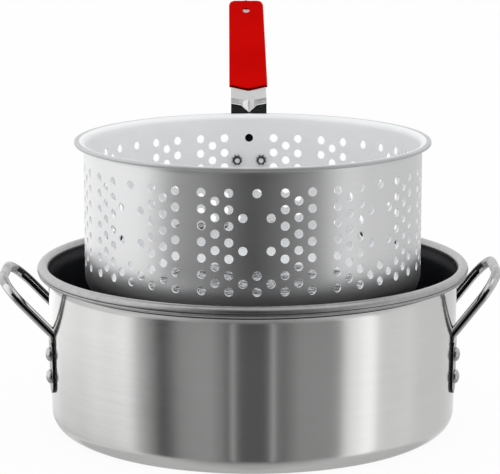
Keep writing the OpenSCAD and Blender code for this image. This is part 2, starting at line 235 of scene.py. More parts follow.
def revolve(profile, segments):
    """Points and faces of a profile turned round Z. It starts and ends on the axis, where its ring
    is one point that is closed by a fan of triangles."""
    rings = rings_round_z(profile[1:-1], np.linspace(0, 2 * pi, segments, endpoint=False))
    poles = [[0, 0, profile[0, 1]], [0, 0, profile[-1, 1]]]
    j = np.arange(segments)
    following = (j + 1) % segments
    first_pole = len(rings)
    last = first_pole - segments
    start_fan = np.stack([np.full(segments, first_pole), following, j], 1)
    end_fan = np.stack([last + j, last + following, np.full(segments, first_pole + 1)], 1)
    quads = grid_quads(len(profile) - 2, segments)
    return np.vstack([rings, poles]), [quads, start_fan, end_fan]


def triangulated(plan, loops, holes, clearance):
    """Triangles of a plan area bounded by loops, without those whose middle is nearer than the
    clearance to a hole's centre."""
    inside_loops, tolerance = 1, 1e-6
    in_mm = [Vector(p) for p in plan / MM]
    triangles = np.array(delaunay_2d_cdt(in_mm, [], loops, inside_loops, tolerance)[2])
    middle = plan[triangles].mean(1)
    near = np.linalg.norm(middle[:, None] - holes[None], axis=2).min(1)
    return triangles[near > clearance]


def placed_in_basket(points):
    """Points of the basket's own frame, turned about Z and raised to where it stands in the
    pot."""
    c, s = cos(BASKET_TURN), sin(BASKET_TURN)
    x, y, z = points[..., 0], points[..., 1], points[..., 2]
    return np.stack([c * x - s * y, s * x + c * y, z + BASKET_Z], -1)


def face_finishes(shape, *rules):
    """The number of each face's finish in an array of faces: that of the last (where, number) rule
    that holds there, or else 0."""
    finish = np.zeros(shape, int)
    for where, number in rules:
        finish = np.where(where, number, finish)
    return finish.ravel()


def new_object(name, data):
    """An object with the given data, in the scene."""
    thing = bpy.data.objects.new(name, data)
    bpy.context.scene.collection.objects.link(thing)
    return thing


def make_mesh(name, points, faces, materials, finishes=None, sharp=38):
    """One object from an array of points and a list of face arrays, each with three or four
    columns. Finishes are a list of arrays as well. Edges that turn by more than sharp degrees stay
    hard."""
    mesh = bpy.data.meshes.new(name)
    mesh.from_pydata(points, [], [corners for group in faces for corners in group.tolist()])
    for material in materials:
        mesh.materials.append(material)
    if finishes is not None:
        numbers = np.concatenate(finishes).astype(np.int32)
        mesh.polygons.foreach_set("material_index", numbers)
    mesh.validate()
    mesh.shade_smooth()
    mesh.set_sharp_from_angle(angle=radians(sharp))
    return new_object(name, mesh)


def add_piece(piece, body, slot, *nodes):
    """Parents a piece to its body, so that it rides on it, and hides the CAD nodes that it stands
    for.
    Its slot is not used.
    """
    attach(piece, body)
    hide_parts(*nodes)


# -------- shader tools

class Wire:
    """A node socket that takes part in Python arithmetic."""

    def __init__(self, paint, socket):
        self.paint, self.socket = paint, socket

    def _math(self, operation, *values):
        return self.paint.node("ShaderNodeMath", {"operation": operation}, values)

    def __add__(self, other):
        return self._math("ADD", self, other)

    def __sub__(self, other):
        return self._math("SUBTRACT", self, other)

    def __mul__(self, other):
        return self._math("MULTIPLY", self, other)

    def __truediv__(self, other):
        return self._math("DIVIDE", self, other)

    def clamp(self):
        return self._math("MAXIMUM", self._math("MINIMUM", self, 1.0), 0.0)

    def absolute(self):
        return self._math("ABSOLUTE", self)

    def ramp(self, low, high):
        """0 where the value is low, 1 where it is high, and clamped outside."""
        return ((self - low) / (high - low)).clamp()


class Paint:
    """A material under construction, with its Principled shader and its Object coordinates."""

    def __init__(self, name, **constants):
        self.material = bpy.data.materials.new(name)
        self.material.use_nodes = True
        self.tree = self.material.node_tree
        self.shader = self.tree.nodes["Principled BSDF"]
        self.feed(**constants)
        self.place = self.source("ShaderNodeTexCoord", "Object")

    def source(self, kind, output):
        """One output of a new node that needs no input."""
        return Wire(self, self.tree.nodes.new(kind).outputs[output])

    def node(self, kind, settings=None, values=()):
        """The first output of a new node, with its settings and what goes into its inputs."""
        node = self.tree.nodes.new(kind)
        for key, value in (settings or {}).items():
            setattr(node, key, value)
        pairs = values.items() if isinstance(values, dict) else enumerate(values)
        for key, value in pairs:
            self.plug(node.inputs[key], value)
        return Wire(self, node.outputs[0])

    def plug(self, socket, value):
        if isinstance(value, Wire):
            self.tree.links.new(value.socket, socket)
        else:
            socket.default_value = value

    def split(self, vector):
        node = self.tree.nodes.new("ShaderNodeSeparateXYZ")
        self.plug(node.inputs[0], vector)
        return [Wire(self, node.outputs[i]) for i in range(3)]

    def noise(self, scale, detail, rough, squeeze=None):
        """Soft noise of about one unit range, its pattern squeezed by a factor along each axis."""
        vector = self.place
        if squeeze:
            vector = self.node("ShaderNodeMapping", values={"Vector": vector, "Scale": squeeze})
        return self.node("ShaderNodeTexNoise", values={
            "Vector": vector, "Scale": scale, "Detail": detail, "Roughness": rough
        })

    def blend(self, factor, a, b):
        """A colour that goes from a to b with the factor."""
        node = self.tree.nodes.new("ShaderNodeMix")
        node.data_type = "RGBA"
        for socket, value in ((0, factor), (6, a), (7, b)):
            self.plug(node.inputs[socket], value)
        return Wire(self, node.outputs[2])

    def feed(self, **inputs):
        """Values or wires for the shader's inputs, by their names in lower case."""
        for name, value in inputs.items():
            socket = name.replace("_", " ").title().replace("Ior", "IOR")
            self.plug(self.shader.inputs[socket], value)

    def coat(self, mix, first, second, roughness, relief, depth, strength):
        """The finished material. Its colour goes from the first to the second with the mix, and
        its relief is a bump of the given depth and strength."""
        bump = {"Height": relief, "Distance": depth, "Strength": strength}
        self.feed(
            base_color=self.blend(mix, first, second),
            roughness=roughness,
            normal=self.node("ShaderNodeBump", values=bump),
        )
        return self.material


def grey(value):
    return (value, value, value, 1.0)


# -------- finishes

def spun_aluminium(name, dark, light, polish, lines, strength, metallic, **shader):
    """Turned or rolled aluminium: fine lines run round the piece, so noise is stretched all ways
    but along Z, and larger soft clouds vary its tone and roughness."""
    paint = Paint(name, metallic=metallic, **shader)
    fine = paint.noise(lines, 3.0, 0.6, (0.02, 0.02, 1.0))
    coarse = paint.noise(lines * 0.18, 2.0, 0.5, (0.04, 0.04, 1.0))
    cloud = paint.noise(14.0, 3.0, 0.55)
    mix = (fine * 0.35 + coarse * 0.25 + cloud * 0.4).ramp(0.3, 0.7)
    roughness = cloud * 0.08 + fine * 0.06 + (polish - 0.07)
    return paint.coat(
        mix, dark, light, roughness, fine * 0.6 + coarse * 0.4, 0.06 * MM, strength)


def satin_sheet(name, dark, light, metallic):
    """The basket's inside and flange: the same sheet with a soft, whitish satin face, in a lighter
    copy of painted light for the inside and a darker copy of painted shade for the flange.
    """
    paint = Paint(name, metallic=metallic)
    rolled = paint.noise(700.0, 3.0, 0.6, (0.03, 0.03, 1.0))
    cloud = paint.noise(18.0, 3.0, 0.55)
    return paint.coat(
        (rolled * 0.4 + cloud * 0.6).ramp(0.3, 0.7),
        (dark * 0.98, dark * 0.99, dark, 1), (light * 0.97, light * 0.985, light, 1),
        cloud * 0.1 + 0.38, rolled, 0.05 * MM, 0.3)


def painted_shade_interior():
    """A dark, low-gloss finish with faint turned rings. It is painted shade: inside the pot, in
    its bead's groove and under the bead, and in the handles' open channels.
    """
    paint = Paint("painted_shade_lining", metallic=0.0, specular_ior_level=0.35)
    rings = paint.noise(900.0, 2.0, 0.6, (0.02, 0.02, 1.0))
    cloud = paint.noise(25.0, 3.0, 0.6)
    return paint.coat(
        cloud, (0.010, 0.011, 0.014, 1), (0.020, 0.021, 0.025, 1),
        cloud * 0.15 + 0.32, rings, 0.04 * MM, 0.5)


def matt_rim():
    """Rolled sheet edge, duller than the walls, with faint marks from the rolling wheel."""
    paint = Paint("rolled_rim", metallic=1.0, anisotropic=0.35)
    marks = paint.noise(220.0, 3.0, 0.6)
    cloud = paint.noise(30.0, 3.0, 0.6)
    return paint.coat(
        (marks * 0.5 + cloud * 0.5).ramp(0.35, 0.65), grey(0.46), grey(0.57),
        cloud * 0.12 + 0.26, marks, 0.08 * MM, 0.5)


def chrome_plate(name, dark, light, polish):
    """Chromium on steel: nearly a mirror, with slight ripple and a few smeared patches."""
    paint = Paint(name, metallic=1.0)
    ripple = paint.noise(120.0, 2.0, 0.5)
    smear = paint.noise(45.0, 4.0, 0.6)
    return paint.coat(
        smear, grey(dark), grey(light),
        smear.ramp(0.35, 0.75) * 0.08 + polish, ripple, 0.1 * MM, 0.25)


def frosted_plate(name, dark, light, metallic, scale):
    """Plating with a pale, frosted look, as where hands have rubbed the crossbar. Its copies also
    paint
    light and shade: painted highlights, a flat painted light grey, and a mid grey that paints
    shade and a light line."""
    paint = Paint(name, metallic=metallic)
    grain = paint.noise(scale, 4.0, 0.6)
    return paint.coat(
        grain.ramp(0.32, 0.68), grey(dark), grey(light),
        grain * 0.15 + 0.3, grain, 0.05 * MM, 0.4)


def grained_metal(name, dark, light, metallic, scale, rough, polish, depth):
    """Metal of small fasteners, mottled by one grain in its tone, roughness and relief."""
    paint = Paint(name, metallic=metallic)
    grain = paint.noise(scale, 3.0, 0.6)
    return paint.coat(grain, grey(dark), grey(light), grain * rough + polish, grain, depth, 0.5)


def plated_steel(name, dark, light, metallic):
    """The faint grain of plated screws, washers and nuts."""
    return grained_metal(name, dark, light, metallic, 900.0, 0.15, 0.24, 0.05 * MM)


def red_vinyl():
    """Dipped vinyl: strong red with a soft skin, fine orange peel and slight pooling of colour.
    Where it faces the front, as at the lower lip, it is painted darker: painted shade."""
    paint = Paint("red_vinyl", metallic=0.0, specular_ior_level=0.01)
    peel = paint.noise(650.0, 2.0, 0.5)
    pool = paint.noise(22.0, 2.0, 0.5)
    facing = paint.split(paint.source("ShaderNodeNewGeometry", "Normal"))[1]
    skin = paint.blend(
        pool.ramp(0.3, 0.7), (0.52, 0.0004, 0.0, 1), (0.58, 0.0012, 0.0002, 1))
    return paint.coat(
        # Painted shade: dark red where the surface faces the front
        facing.ramp(-0.72, -0.86), skin, (0.09, 0.0, 0.0, 1),
        pool * 0.08 + 0.4, peel * 0.5 + pool * 0.5, 0.12 * MM, 0.35)


POT_SHEET = spun_aluminium(
    "pot_aluminium", (0.89, 0.89, 0.88, 1), (0.96, 0.96, 0.95, 1), 0.15, 1400.0, 0.3,
    metallic=0.93, anisotropic=0.8, anisotropic_rotation=0.25)
BASKET_SHEET = spun_aluminium(
    "basket_aluminium", (0.90, 0.905, 0.91, 1), (0.95, 0.955, 0.96, 1), 0.34, 1500.0, 0.12,
    metallic=1.0)
# Painted light: the inside is a lighter, nearly matt copy of the sheet, where it faces the bright
# surroundings above
LIT_BASKET_SATIN = satin_sheet("basket_satin_painted_light", 0.92, 0.99, 0.12)
# Painted shade: the flange is a darker copy of the same satin sheet, toned down against the light
# from above
SHADED_FLANGE_SATIN = satin_sheet("flange_satin_painted_shade", 0.62, 0.70, 0.85)
SHADE_LINING = painted_shade_interior()
RIM = matt_rim()
CHROME = chrome_plate("bright_chrome", 0.74, 0.86, 0.04)
# Painted dark reflection: a near-black copy of the chrome, for faces that show the dark room in
# front
DARK_REFLECTION_CHROME = chrome_plate("chrome_painted_dark_reflection", 0.02, 0.06, 0.15)
# Painted highlight: a near-white copy of the plate for white lines at bends and edges and a glint
# on the dart
HIGHLIGHT_PLATE = frosted_plate("painted_highlight_plate", 0.86, 0.96, 0.1, 700.0)
# Painted light: a flat light grey that stands in for the bright reflection on the strap's upper
# face and on the handles' lower lips
PAINTED_LIGHT_PLATE = frosted_plate("strap_plate_painted_light", 0.62, 0.70, 0.15, 60.0)
# Smeared plating where hands rub the crossbar; the same mid grey is also painted light as a line
# on the tabs' sides, and painted shade in patches on the strap
SMEAR_AND_PAINTED_SHADING = frosted_plate("smeared_plate_and_painted_shading", 0.36, 0.68, 0.5, 90.0)
RIVET_METAL = grained_metal("rivet_metal", 0.45, 0.80, 1.0, 420.0, 0.2, 0.08, 0.15 * MM)
VINYL = red_vinyl()
SCREW_METAL = plated_steel("bright_screw", 0.65, 0.95, 0.3)
WASHER_METAL = plated_steel("washer_steel", 0.35, 0.75, 0.7)
# Painted shade: the nuts are near black, for the shadowed gap round each screw
SHADED_NUT_METAL = plated_steel("nut_painted_shade", 0.04, 0.14, 1.0)


# -------- pot

def wall_r(z):
    """Outer radius of the wall, which narrows in a straight line from below the bead to the
    foot."""
    return POT_R - WALL_DRAFT * (FLARE_Z - z) / (FLARE_Z - POT_CORNER_R)


def pot():
    """The vessel is its half section turned round Z: up the inside, over the rolled bead, past the
    curled edge, down the outside and under the base. Each stretch has its own finish; the inside,
    the bead's groove and a band just under the bead are painted shade."""
    segments, bead_steps, groove_steps, shaded_rows = 360, 28, 5, 4
    flat = np.array([[0, 0], [0.3 * POT_R, 0], [0.6 * POT_R, 0]])
    foot_x = FOOT_R - POT_CORNER_R
    wall_z = np.linspace(WALL_LOW_Z, FLARE_Z, 6)
    wall = np.stack([wall_r(wall_z), wall_z], 1)
    rise = np.linspace(0, 1, 17)[1:-1]
    neck = np.stack([
        POT_R + RIM_FLARE * smoothstep(0, 1, rise), FLARE_Z + RIM_FLARE_H * rise], 1)
    inside = np.vstack([
        flat + [0, POT_T],
        arc(foot_x, POT_CORNER_R, POT_CORNER_R - POT_T, -90, 0, 12),
        wall - [POT_T, 0],
        neck - [POT_T, 0],
    ])

    def on_bead(r, angle):
        return BEAD_X + r * cos(angle), BEAD_Z + r * sin(angle)

    groove = np.degrees(GROOVE_ANGLE)
    groove_span = np.degrees(GROOVE_R / BEAD_R)
    curl = on_bead(BEAD_R - CURL_R + GROOVE_R, CURL_ANGLE)
    bead = np.vstack([
        arc(BEAD_X, BEAD_Z, BEAD_R, 180, groove + groove_span, bead_steps),
        arc(*on_bead(BEAD_R, GROOVE_ANGLE), GROOVE_R, groove + 100, groove + 260, groove_steps),
        arc(*curl, CURL_R, groove + 20, -150, 10),
        arc(BEAD_X, BEAD_Z, BEAD_R - BEAD_HOLLOW, -95, -150, 4),
    ])
    outside = np.vstack([
        neck[neck[:, 1] < BEAD_Z - BEAD_R][::-1],
        wall[::-1],
        arc(foot_x, POT_CORNER_R, POT_CORNER_R, 0, -90, 14),
        flat[::-1],
    ])
    profile = np.vstack([inside, bead, outside])
    points, faces = revolve(profile, segments)
    rows = len(profile) - 3
    row = np.arange(rows)[:, None]
    bead_from = len(inside) - 2
    bead_to = bead_from + len(bead)
    groove_from = bead_from + bead_steps - 1
    groove_to = groove_from + groove_steps - 1
    painted_shade, rolled = 1, 2
    finish = face_finishes(
        (rows, segments),
        (row < bead_to, rolled),
        # Painted shade: the dark finish over the whole inside, in the bead's groove and on a few
        # rows under the bead
        (row < bead_from, painted_shade),
        ((row >= groove_from) & (row < groove_to), painted_shade),
        ((row >= bead_to) & (row < bead_to + shaded_rows), painted_shade))
    vessel = make_mesh(
        "pot_vessel", points, faces, [POT_SHEET, SHADE_LINING, RIM],
        [finish, np.full(segments, painted_shade), np.zeros(segments)])
    add_piece(vessel, "pot", "pot_aluminium", "pot")


# -------- pot handles

# Where stretches of the handle's section start: the groove's bevelled lip, the inner side and its
# corner, the upper side, the outer edge and the outer side. The lower half is the same, mirrored.
LIP_COL, INNER_COL, SIDE_COL, EDGE_COL, OUTER_COL = 2, 3, 8, 9, 17


def handle_section(half_a, half_b, edge_r, groove_half, groove_d):
    """Outline of the handle's bar in (a, b): a rounded edge on the outer side, +a, smaller radii
    on the inner side, -a, and a groove with bevelled lips cut into that inner side. Every outline
    has the same points: four of the lip, five of the inner corner and nine of the outer edge, then
    the same again mirrored."""
    small = edge_r * 0.6
    bevel = min(CHANNEL_BEVEL, groove_d)
    lips = np.array([
        [groove_d, 0], [groove_d, groove_half], [bevel, groove_half], [0, groove_half + bevel]
    ]) - [half_a, 0]
    inner = arc(-half_a + small, half_b - small, small, 180, 90, 5)
    outer = arc(half_a - edge_r, half_b - edge_r, edge_r, 90, 0, 9)
    upper = np.vstack([lips, inner, outer])
    lower = upper[:0:-1] * [1, -1]
    return np.vstack([upper, lower])


def bent_path(corners, radii, step):
    """Points along a polyline whose inner corners are rounded by arcs of the given radii, at about
    the given step, with the distance run at each point."""
    points = [corners[0]]
    for before, corner, after, r in zip(corners, corners[1:], corners[2:], radii):
        *bend, turn = rounded_corner(before, corner, after, r)
        n = max(4, int(turn.item() * r / step))
        points.append(arc_points(*bend, turn, np.linspace(0, 1, n + 1)[:, None]))
    points.append(corners[-1])
    rough = np.vstack(points)
    run = np.append(0, np.cumsum(np.linalg.norm(np.diff(rough, axis=0), axis=1)))
    even = np.linspace(0, run[-1], int(run[-1] / step))
    keep = np.unique(np.append(even, run).round(7))
    return np.stack([np.interp(keep, run, values) for values in rough.T], 1), keep


def pot_handle(side):
    """One bar carried along a path: up the riveted tab, out along the leg, round to the middle of
    the crossbar, and the same mirrored. The section goes from a flat tab, to an open channel, to a
    closed bar."""
    angle = LEG_ANGLES[side]
    wall_x = np.sqrt(wall_r(FOLD_HEIGHT) ** 2 - LEG_Y ** 2)
    fold = np.array([wall_x, LEG_Y, FOLD_HEIGHT])
    leg_end = fold + np.array([cos(angle), 0, sin(angle)]) * LEG_LENGTH
    corners = np.array([
        [wall_x, LEG_Y, TAB_LOW_Z + TAB_T / 2], fold, leg_end, leg_end * [1, 0, 1]])
    half, run = bent_path(corners, [FOLD_R, LOOP_BEND_R], PATH_STEP)
    tangent = unit(np.gradient(half, axis=0))
    on_tab = 1 - smoothstep(TAB_END_Z, LEG_START_Z, half[:, 2])
    radial = np.array([cos(TAB_AZIMUTH), sin(TAB_AZIMUTH), 0])
    leg_normal = np.array([-sin(angle), 0, cos(angle)])
    upright = smoothstep(0.75, 1.0, tangent[:, 2])[:, None]
    normal = (1 - upright) * leg_normal + upright * -radial
    normal = unit(normal - tangent * (normal * tangent).sum(1, keepdims=True))
    across = np.cross(normal, tangent)
    across *= np.sign(across[:, 1:2] + across[:, :1] * 1e-3 + 1e-9)
    on_wall = radial * (wall_r(half[:, 2:]) + SEAT_GAP + TAB_T / 2) + half * [0, 0, 1]
    half = half + on_tab[:, None] * (on_wall - half)

    to_bend = run[-1] - run - (LEG_Y - LOOP_BEND_R) - LOOP_BEND
    open_leg = smoothstep(CHANNEL_END, CHANNEL_END + 1 * MM, to_bend)
    open_leg *= 1 - smoothstep(0.0, 0.6, on_tab)
    from_edge = np.clip(run / (TAB_W / 2), 0, 1)
    tab_round = np.sqrt(np.clip(1 - (1 - from_edge) ** 2, 0.02, 1))
    sections = np.stack([
        handle_section(
            (1 - w) * SECTION_D / 2 + w * TAB_W / 2 * r,
            (1 - w) * SECTION_H / 2 + w * TAB_T / 2,
            (1 - w) * SECTION_EDGE_R + w * TAB_EDGE_R,
            CHANNEL_HALF_W * o + CLOSED_HALF_W, CHANNEL_D * o + CLOSED_D)
        for w, r, o in zip(on_tab, tab_round, open_leg)
    ])
    a, b = sections[..., :1], sections[..., 1:]
    points = half[:, None] + a * across[:, None] + b * normal[:, None]
    points -= on_tab[:, None, None] * a ** 2 / (2 * POT_R) * radial
    whole = np.vstack([points, points[-2::-1] * [1, -1, 1]])

    rows, cols = whole.shape[:2]
    column = np.arange(cols)
    mirror = cols - 1 - column

    def both_halves(values):
        return np.append(values, values[:0:-1])[:rows - 1, None]

    grooved = both_halves(open_leg) > 0.5
    ahead = both_halves(to_bend)
    tab = both_halves(on_tab) > 0.5
    chrome, painted_shade, dark, painted_highlight, smear_and_shading, painted_light = range(6)
    finish = face_finishes(
        (rows - 1, cols),
        # Painted dark reflection: a stripe on the outer side, and the inner and upper sides, in
        # near-black chrome
        ((column == OUTER_COL - 1) | (column == OUTER_COL), dark),
        ((column >= INNER_COL) & (column <= EDGE_COL), dark),
        # Painted light: the lower lip and inner corner in flat light grey, for the floor's
        # reflection
        ((mirror >= LIP_COL) & (mirror < SIDE_COL), painted_light),
        # Painted shade: the dark finish inside the open channel
        (grooved & ((column < LIP_COL) | (mirror <= LIP_COL)), painted_shade),
        # Painted highlight: the groove's upper bevelled lip
        (grooved & (column == LIP_COL), painted_highlight),
        ((ahead < 0) & ~grooved & (column >= EDGE_COL + 3), chrome),
        (ahead < SMEAR_END, smear_and_shading),
        # Painted dark reflection over the whole tab
        (tab, dark),
        # Painted light: a light line along the tab's side faces, in mid grey
        (tab & ((column == SIDE_COL) | (mirror == SIDE_COL)), smear_and_shading))
    caps = [
        np.stack([np.full(cols - 2, ring[0]), ring[1:-1], ring[2:]], 1)
        for ring in (column[::-1], column + (rows - 1) * cols)]
    faces = [grid_quads(rows, cols), *caps]
    if side < 0:
        faces = [f[:, ::-1] for f in faces]
    name = "pot_handle_right" if side > 0 else "pot_handle_left"
    bar = make_mesh(
        name + "_bar", whole.reshape(-1, 3) * [side, 1, 1], faces,
        [CHROME, SHADE_LINING, DARK_REFLECTION_CHROME, HIGHLIGHT_PLATE, SMEAR_AND_PAINTED_SHADING, PAINTED_LIGHT_PLATE],
        [finish, *(np.full(len(cap), chrome) for cap in caps)], sharp=50)
    add_piece(bar, "pot", "chrome", name)


def rivet(name, side, leg, row):
    """A rivet is its half section turned round its own axis, then laid along the wall's normal:
    flat foot inside, shank, and a low dome with a small rolled edge outside."""
    z = RIVET_LOW_Z + row * RIVET_PITCH
    base = wall_r(z) + TAB_T + RIVET_GAP
    foot_top = wall_r(z) - POT_T - RIVET_GAP
    foot_low = foot_top - RIVET_FOOT_H
    edge = RIVET_FOOT_EDGE_R
    dome = arc(0, 0, 1, 8, 90, 12) * [RIVET_HEAD_R, RIVET_HEAD_H - RIVET_HEAD_EDGE]
    dome[-1, 0] = 0
    profile = np.vstack([
        [[0, foot_low]],
        arc(RIVET_FOOT_R - edge, foot_low + edge, edge, -90, 0, 4),
        [[RIVET_FOOT_R, foot_top], [RIVET_SHANK_R, foot_top], [RIVET_SHANK_R, base]],
        [[RIVET_HEAD_R - RIVET_BEVEL, base], [RIVET_HEAD_R, base + RIVET_BEVEL]],
        dome + [0, base + RIVET_HEAD_EDGE],
    ])
    points, faces = revolve(profile, 32)
    azimuth = leg * TAB_AZIMUTH if side > 0 else pi - leg * TAB_AZIMUTH
    outward = np.array([cos(azimuth), sin(azimuth), 0])
    sideways = np.array([-sin(azimuth), cos(azimuth), 0])
    axes = np.array([sideways, [0, 0, 1], outward])
    piece = make_mesh(name + "_body", points @ axes + [0, 0, z], faces, [RIVET_METAL])
    add_piece(piece, "pot", "rivet_aluminium", name)


# -------- basket

# Grid steps across one hole's cell, both ways, so that a cell's rim has 4 x CELL points
CELL = 6


def column_rows(k):
    """Rows punched in a column, counted from the middle column of a repeat."""
    return {
        0: [0, 5, 6], 1: [1.5, 3.5, 5.5], 3: [0.5, 1.5, 2.5, 3.5, 4.5, 5.5],
    }.get(abs(k), range(ROWS))


def hole_cells():
    """Grid column and level of every wall hole's centre. Columns run round the basket from +Y, and
    levels run down from one row above the top row."""
    return np.array([
        (((repeat * COLUMNS + k) * CELL) % (REPEATS * COLUMNS * CELL), int((row + 1) * CELL))
        for repeat in range(REPEATS) for k in range(-4, 5) for row in column_rows(k)
    ])


def cell_rim():
    """Offsets (column, level) of the points round a cell, counter-clockwise from the middle of its
    right side, so that point i lies towards the angle i x 360 / (4 x CELL)."""
    h = CELL // 2
    side = np.arange(-h, h)
    right = np.stack([np.full(CELL, h), side], 1)
    top = np.stack([-side, np.full(CELL, h)], 1)
    return np.roll(np.vstack([right, top, -right, -top]), -h, axis=0)


def basket_profile():
    """Half section of the wall as rings, from the floor's outer edge up the outside, over the
    hemmed flange and down the inside. The punched band's levels lie evenly between its two ends.
    Also returns the first rings of the outer band, the hem, the bend over the flange and the inner
    band, and the levels."""
    levels = FIRST_ROW_Z + ROW_PITCH - np.arange((ROWS + 1) * CELL + 1) * ROW_PITCH / CELL
    bend = FLANGE_BEND_R + BASKET_T
    bend_x, bend_z = BASKET_R + FLANGE_BEND_R, BASKET_H - bend
    hem_x, hem_r = FLANGE_R - HEM_W / 2, HEM_W / 2
    corner_x = BASKET_R - BASKET_CORNER_R

    def foot(r, z):
        """The floor's edge and the corner up to the wall, as far as the punched band allows."""
        rings = np.vstack([
            [[corner_x - FLOOR_INSET, z]], arc(corner_x, BASKET_CORNER_R, r, -90, -8, 10)])
        return rings[rings[:, 1] < levels[-1] - RING_SPACING]

    def band(r):
        return np.stack([np.full(len(levels), r), levels], 1)

    under_flange = arc(bend_x, bend_z, FLANGE_BEND_R, 180, 90, 7)
    hem = np.vstack([
        [[hem_x - hem_r * 0.7, BASKET_H - BASKET_T]],
        [[hem_x - hem_r, BASKET_H - BASKET_T - HEM_STEP]],
        arc(hem_x, BASKET_H - HEM_H + hem_r, hem_r, 180, 360, 8),
        arc(hem_x, BASKET_H - hem_r, hem_r, 0, 90, 6),
        [[bend_x + FLANGE_FLAT, BASKET_H]],
    ])
    over_flange = arc(bend_x, bend_z, bend, 90, 180, 9)
    stretches = [
        foot(BASKET_CORNER_R, 0), band(BASKET_R)[::-1], under_flange, hem, over_flange,
        band(BASKET_R - BASKET_T), foot(BASKET_CORNER_R - BASKET_T, BASKET_T)[::-1]]
    starts = np.cumsum([len(stretch) for stretch in stretches])
    return np.vstack(stretches), starts[0], starts[2], starts[3], starts[4], levels


def floor_sheet(outer_ring):
    """Triangles of the punched floor: a disc bounded by the wall's last ring, with rings of round
    holes, triangulated so that every hole stays open. Returns plan points, triangles and rims."""
    sides = 20
    centres = np.vstack([
        circle(ring * FLOOR_PITCH, 6 * ring) for ring in range(1, FLOOR_RINGS + 1)])
    rims = centres[:, None] + circle(HOLE_R, sides)
    count = len(outer_ring)
    plan = np.vstack([outer_ring, rims.reshape(-1, 2)])
    rim_points = count + np.arange(len(centres) * sides).reshape(-1, sides)
    loops = [list(range(count))] + [list(rim[::-1]) for rim in rim_points]
    return plan, triangulated(plan, loops, centres, HOLE_CLEARANCE), rim_points


def basket():
    """Pressed and punched sheet. The wall is a grid of rings and columns; the grid squares of each
    hole's cell give way to quads from the cell's rim to the hole's circle, on both faces of the
    sheet, and a short tube joins the two circles. The floor is a punched disc on each face."""
    columns = REPEATS * COLUMNS * CELL
    rings, outer_start, flange_start, flange_end, inner_start, levels = basket_profile()
    theta = pi / 2 + np.arange(columns) * 2 * pi / columns
    wall = rings_round_z(rings, theta)
    cells = hole_cells()
    h = CELL // 2
    steps = len(levels) - 1
    dj, dl = np.meshgrid(np.arange(-h, h), np.arange(-h, h), indexing="ij")
    cols_hit = (cells[:, :1] + dj.ravel()) % columns
    levels_hit = cells[:, 1:] + dl.ravel()
    kept = np.ones((len(rings) - 1, columns), bool)
    kept[outer_start + steps - 1 - levels_hit, cols_hit] = False
    kept[inner_start + levels_hit, cols_hit] = False
    quads = grid_quads(len(rings), columns)[kept.ravel()]
    ring = np.repeat(np.arange(len(rings) - 1), columns)[kept.ravel()]
    outside, inside, flange = range(3)
    # The inside gets the painted light copy of the satin sheet, and the flange the painted shade
    # copy
    finish = face_finishes(
        ring.shape, (ring >= flange_start, flange), (ring >= flange_end, inside))

    rim = cell_rim()
    around = len(rim)
    rim_col = (cells[:, :1] + rim[:, 0]) % columns
    rim_level = cells[:, 1:] - rim[:, 1]
    outer_rim = (outer_start + steps - rim_level) * columns + rim_col
    inner_rim = (inner_start + rim_level) * columns + rim_col
    across, up = circle(HOLE_R, around).T
    hole_t = theta[cells[:, 0]][:, None] + across / BASKET_R
    hole_z = levels[cells[:, 1]][:, None] + up
    circles = [
        np.stack([r * np.cos(hole_t), r * np.sin(hole_t), hole_z], -1).reshape(-1, 3)
        for r in (BASKET_R, BASKET_R - BASKET_T)
    ]
    outer_circle = len(wall) + np.arange(len(cells) * around).reshape(-1, around)
    inner_circle = outer_circle + outer_circle.size

    plan, triangles, holes = floor_sheet(wall[:columns, :2])
    under = np.column_stack([plan[columns:], np.zeros(len(plan) - columns)])
    upper = under + [0, 0, BASKET_T]
    under_start = len(wall) + 2 * outer_circle.size
    upper_start = under_start + len(under)
    last_ring = (len(rings) - 1) * columns

    def strip(first, second):
        loop = [first, np.roll(first, -1, 1), np.roll(second, -1, 1), second]
        return np.stack(loop, -1).reshape(-1, 4)

    def numbered(index, ring_start, disc_start):
        return np.where(index < columns, ring_start + index, disc_start + index - columns)

    surfaces = [
        (quads, finish),
        (strip(outer_rim, outer_circle), outside),
        (strip(inner_circle, inner_rim), inside),
        (strip(outer_circle, inner_circle), inside),
        (numbered(triangles, 0, under_start)[:, ::-1], outside),
        (numbered(triangles, last_ring, upper_start), inside),
        (strip(numbered(holes, 0, under_start), numbered(holes, 0, upper_start)), inside),
    ]
    sheet = make_mesh(
        "basket_sheet", placed_in_basket(np.vstack([wall, *circles, under, upper])),
        [faces for faces, _ in surfaces], [BASKET_SHEET, LIT_BASKET_SATIN, SHADED_FLANGE_SATIN],
        [np.broadcast_to(number, len(faces)) for faces, number in surfaces])
    add_piece(sheet, "basket", "basket_aluminium", "basket")


# -------- basket handle

def bent_lines(corners, radii, stretch_counts, bend_count):
    """Many polylines at once, with an array of (line, corner, 2), rounded at their inner corners.
    All get the same number of points on each stretch and bend, so that together they make a grid.
    Also returns the first row of each bend."""
    rows, bend_rows = [], []
    start = corners[:, 0]

    def shares(count):
        return np.linspace(0, 1, count, endpoint=False)[:, None, None]

    for k, r in enumerate(radii, start=1):
        centre, first, last, turn = rounded_corner(*(corners[:, k + i] for i in (-1, 0, 1)), r)
        rows.extend(start + shares(stretch_counts[k - 1]) * (centre + first - start))
        bend_rows.append(len(rows))
        rows.extend(arc_points(centre, first, last, turn, shares(bend_count)))
        start = centre + last
    rows.extend(start + shares(stretch_counts[-1]) * (corners[:, -1] - start))
    return np.stack(rows), bend_rows


# Where the strap's finishes lie, most of them painted light and shade: shares of its half width,
# rows past the start of its bend, and how far the dart is pressed in
SHADE_SIDE, SHADE_MIDDLE = 0.3, 0.06
GLINT_AT, GLINT_HALF_W = -0.2, 0.14
SHADE_ROWS, HIGHLIGHT_ROWS, DARK_ROWS = 15, 4, 2
DART_SHALLOW, DART_DEEP = 0.3 * MM, 0.7 * MM


